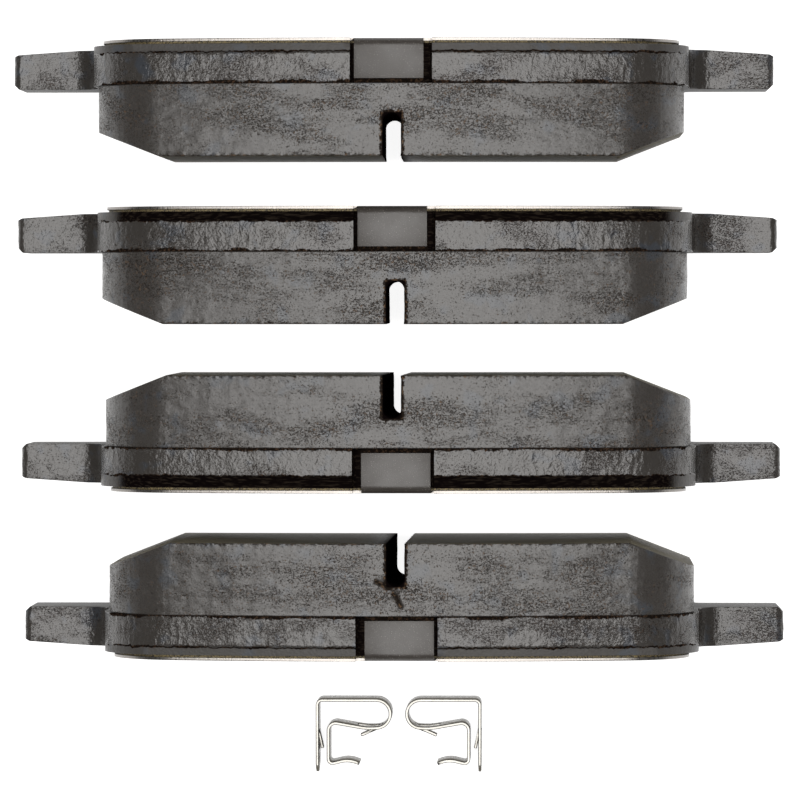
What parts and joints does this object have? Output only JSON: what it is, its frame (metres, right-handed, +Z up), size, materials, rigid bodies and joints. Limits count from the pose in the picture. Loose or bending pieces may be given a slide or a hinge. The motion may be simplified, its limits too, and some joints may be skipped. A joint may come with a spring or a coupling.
{
  "type": "disc brake pad set",
  "caption": "Disc brake pads with backing plates, slotted linings and tabbed shims, standing on edge in a row, with bent spring clips beside them.",
  "frame": {"origin": "middle of the whole set, on the surface that it stands on", "axes": "+X along the pads, over their ears; +Y through the pads, towards the first pad of the row; +Z up the pads, from foot to crown"},
  "size_m": [0.1256, 0.1194, 0.0499],
  "materials": {
    "black_paint": "semi-gloss black paint with orange peel over stamped steel",
    "underlayer": "moulded backing compound, lightly painted over, rust-brown at the joint",
    "friction_material": "moulded friction compound, oversprayed on its edges and ground on its face",
    "damping": "olive-gold granular damping layer",
    "coated_steel": "warm grey matt coating on thin steel with bright cut edges",
    "spring_steel": "bright stainless spring strip"
  },
  "bodies": {
    "pad_1": {"pad_1_backing_plate": "black_paint", "pad_1_underlayer": "underlayer", "pad_1_friction_lining": "friction_material", "pad_1_damping_layer": "damping", "pad_1_shim": "coated_steel"},
    "pad_2": {"pad_2_backing_plate": "black_paint", "pad_2_underlayer": "underlayer", "pad_2_friction_lining": "friction_material", "pad_2_damping_layer": "damping", "pad_2_shim": "coated_steel"},
    "pad_3": {"pad_3_backing_plate": "black_paint", "pad_3_underlayer": "underlayer", "pad_3_friction_lining": "friction_material", "pad_3_damping_layer": "damping", "pad_3_shim": "coated_steel"},
    "pad_4": {"pad_4_backing_plate": "black_paint", "pad_4_underlayer": "underlayer", "pad_4_friction_lining": "friction_material", "pad_4_damping_layer": "damping", "pad_4_shim": "coated_steel"},
    "left_clip": {"left_clip": "spring_steel"},
    "right_clip": {"right_clip": "spring_steel"}
  },
  "joints": [
    {"name": "pad_2_lift", "type": "slide", "parent": "pad_1", "child": "pad_2", "axis": [0, 0, 1], "range_m": [0, 0.06]},
    {"name": "pad_3_lift", "type": "slide", "parent": "pad_1", "child": "pad_3", "axis": [0, 0, 1], "range_m": [0, 0.06]},
    {"name": "pad_4_lift", "type": "slide", "parent": "pad_1", "child": "pad_4", "axis": [0, 0, 1], "range_m": [0, 0.06]},
    {"name": "left_clip_lift", "type": "slide", "parent": "pad_1", "child": "left_clip", "axis": [0, 0, 1], "range_m": [0, 0.06]},
    {"name": "right_clip_lift", "type": "slide", "parent": "pad_1", "child": "right_clip", "axis": [0, 0, 1], "range_m": [0, 0.06]}
  ]
}
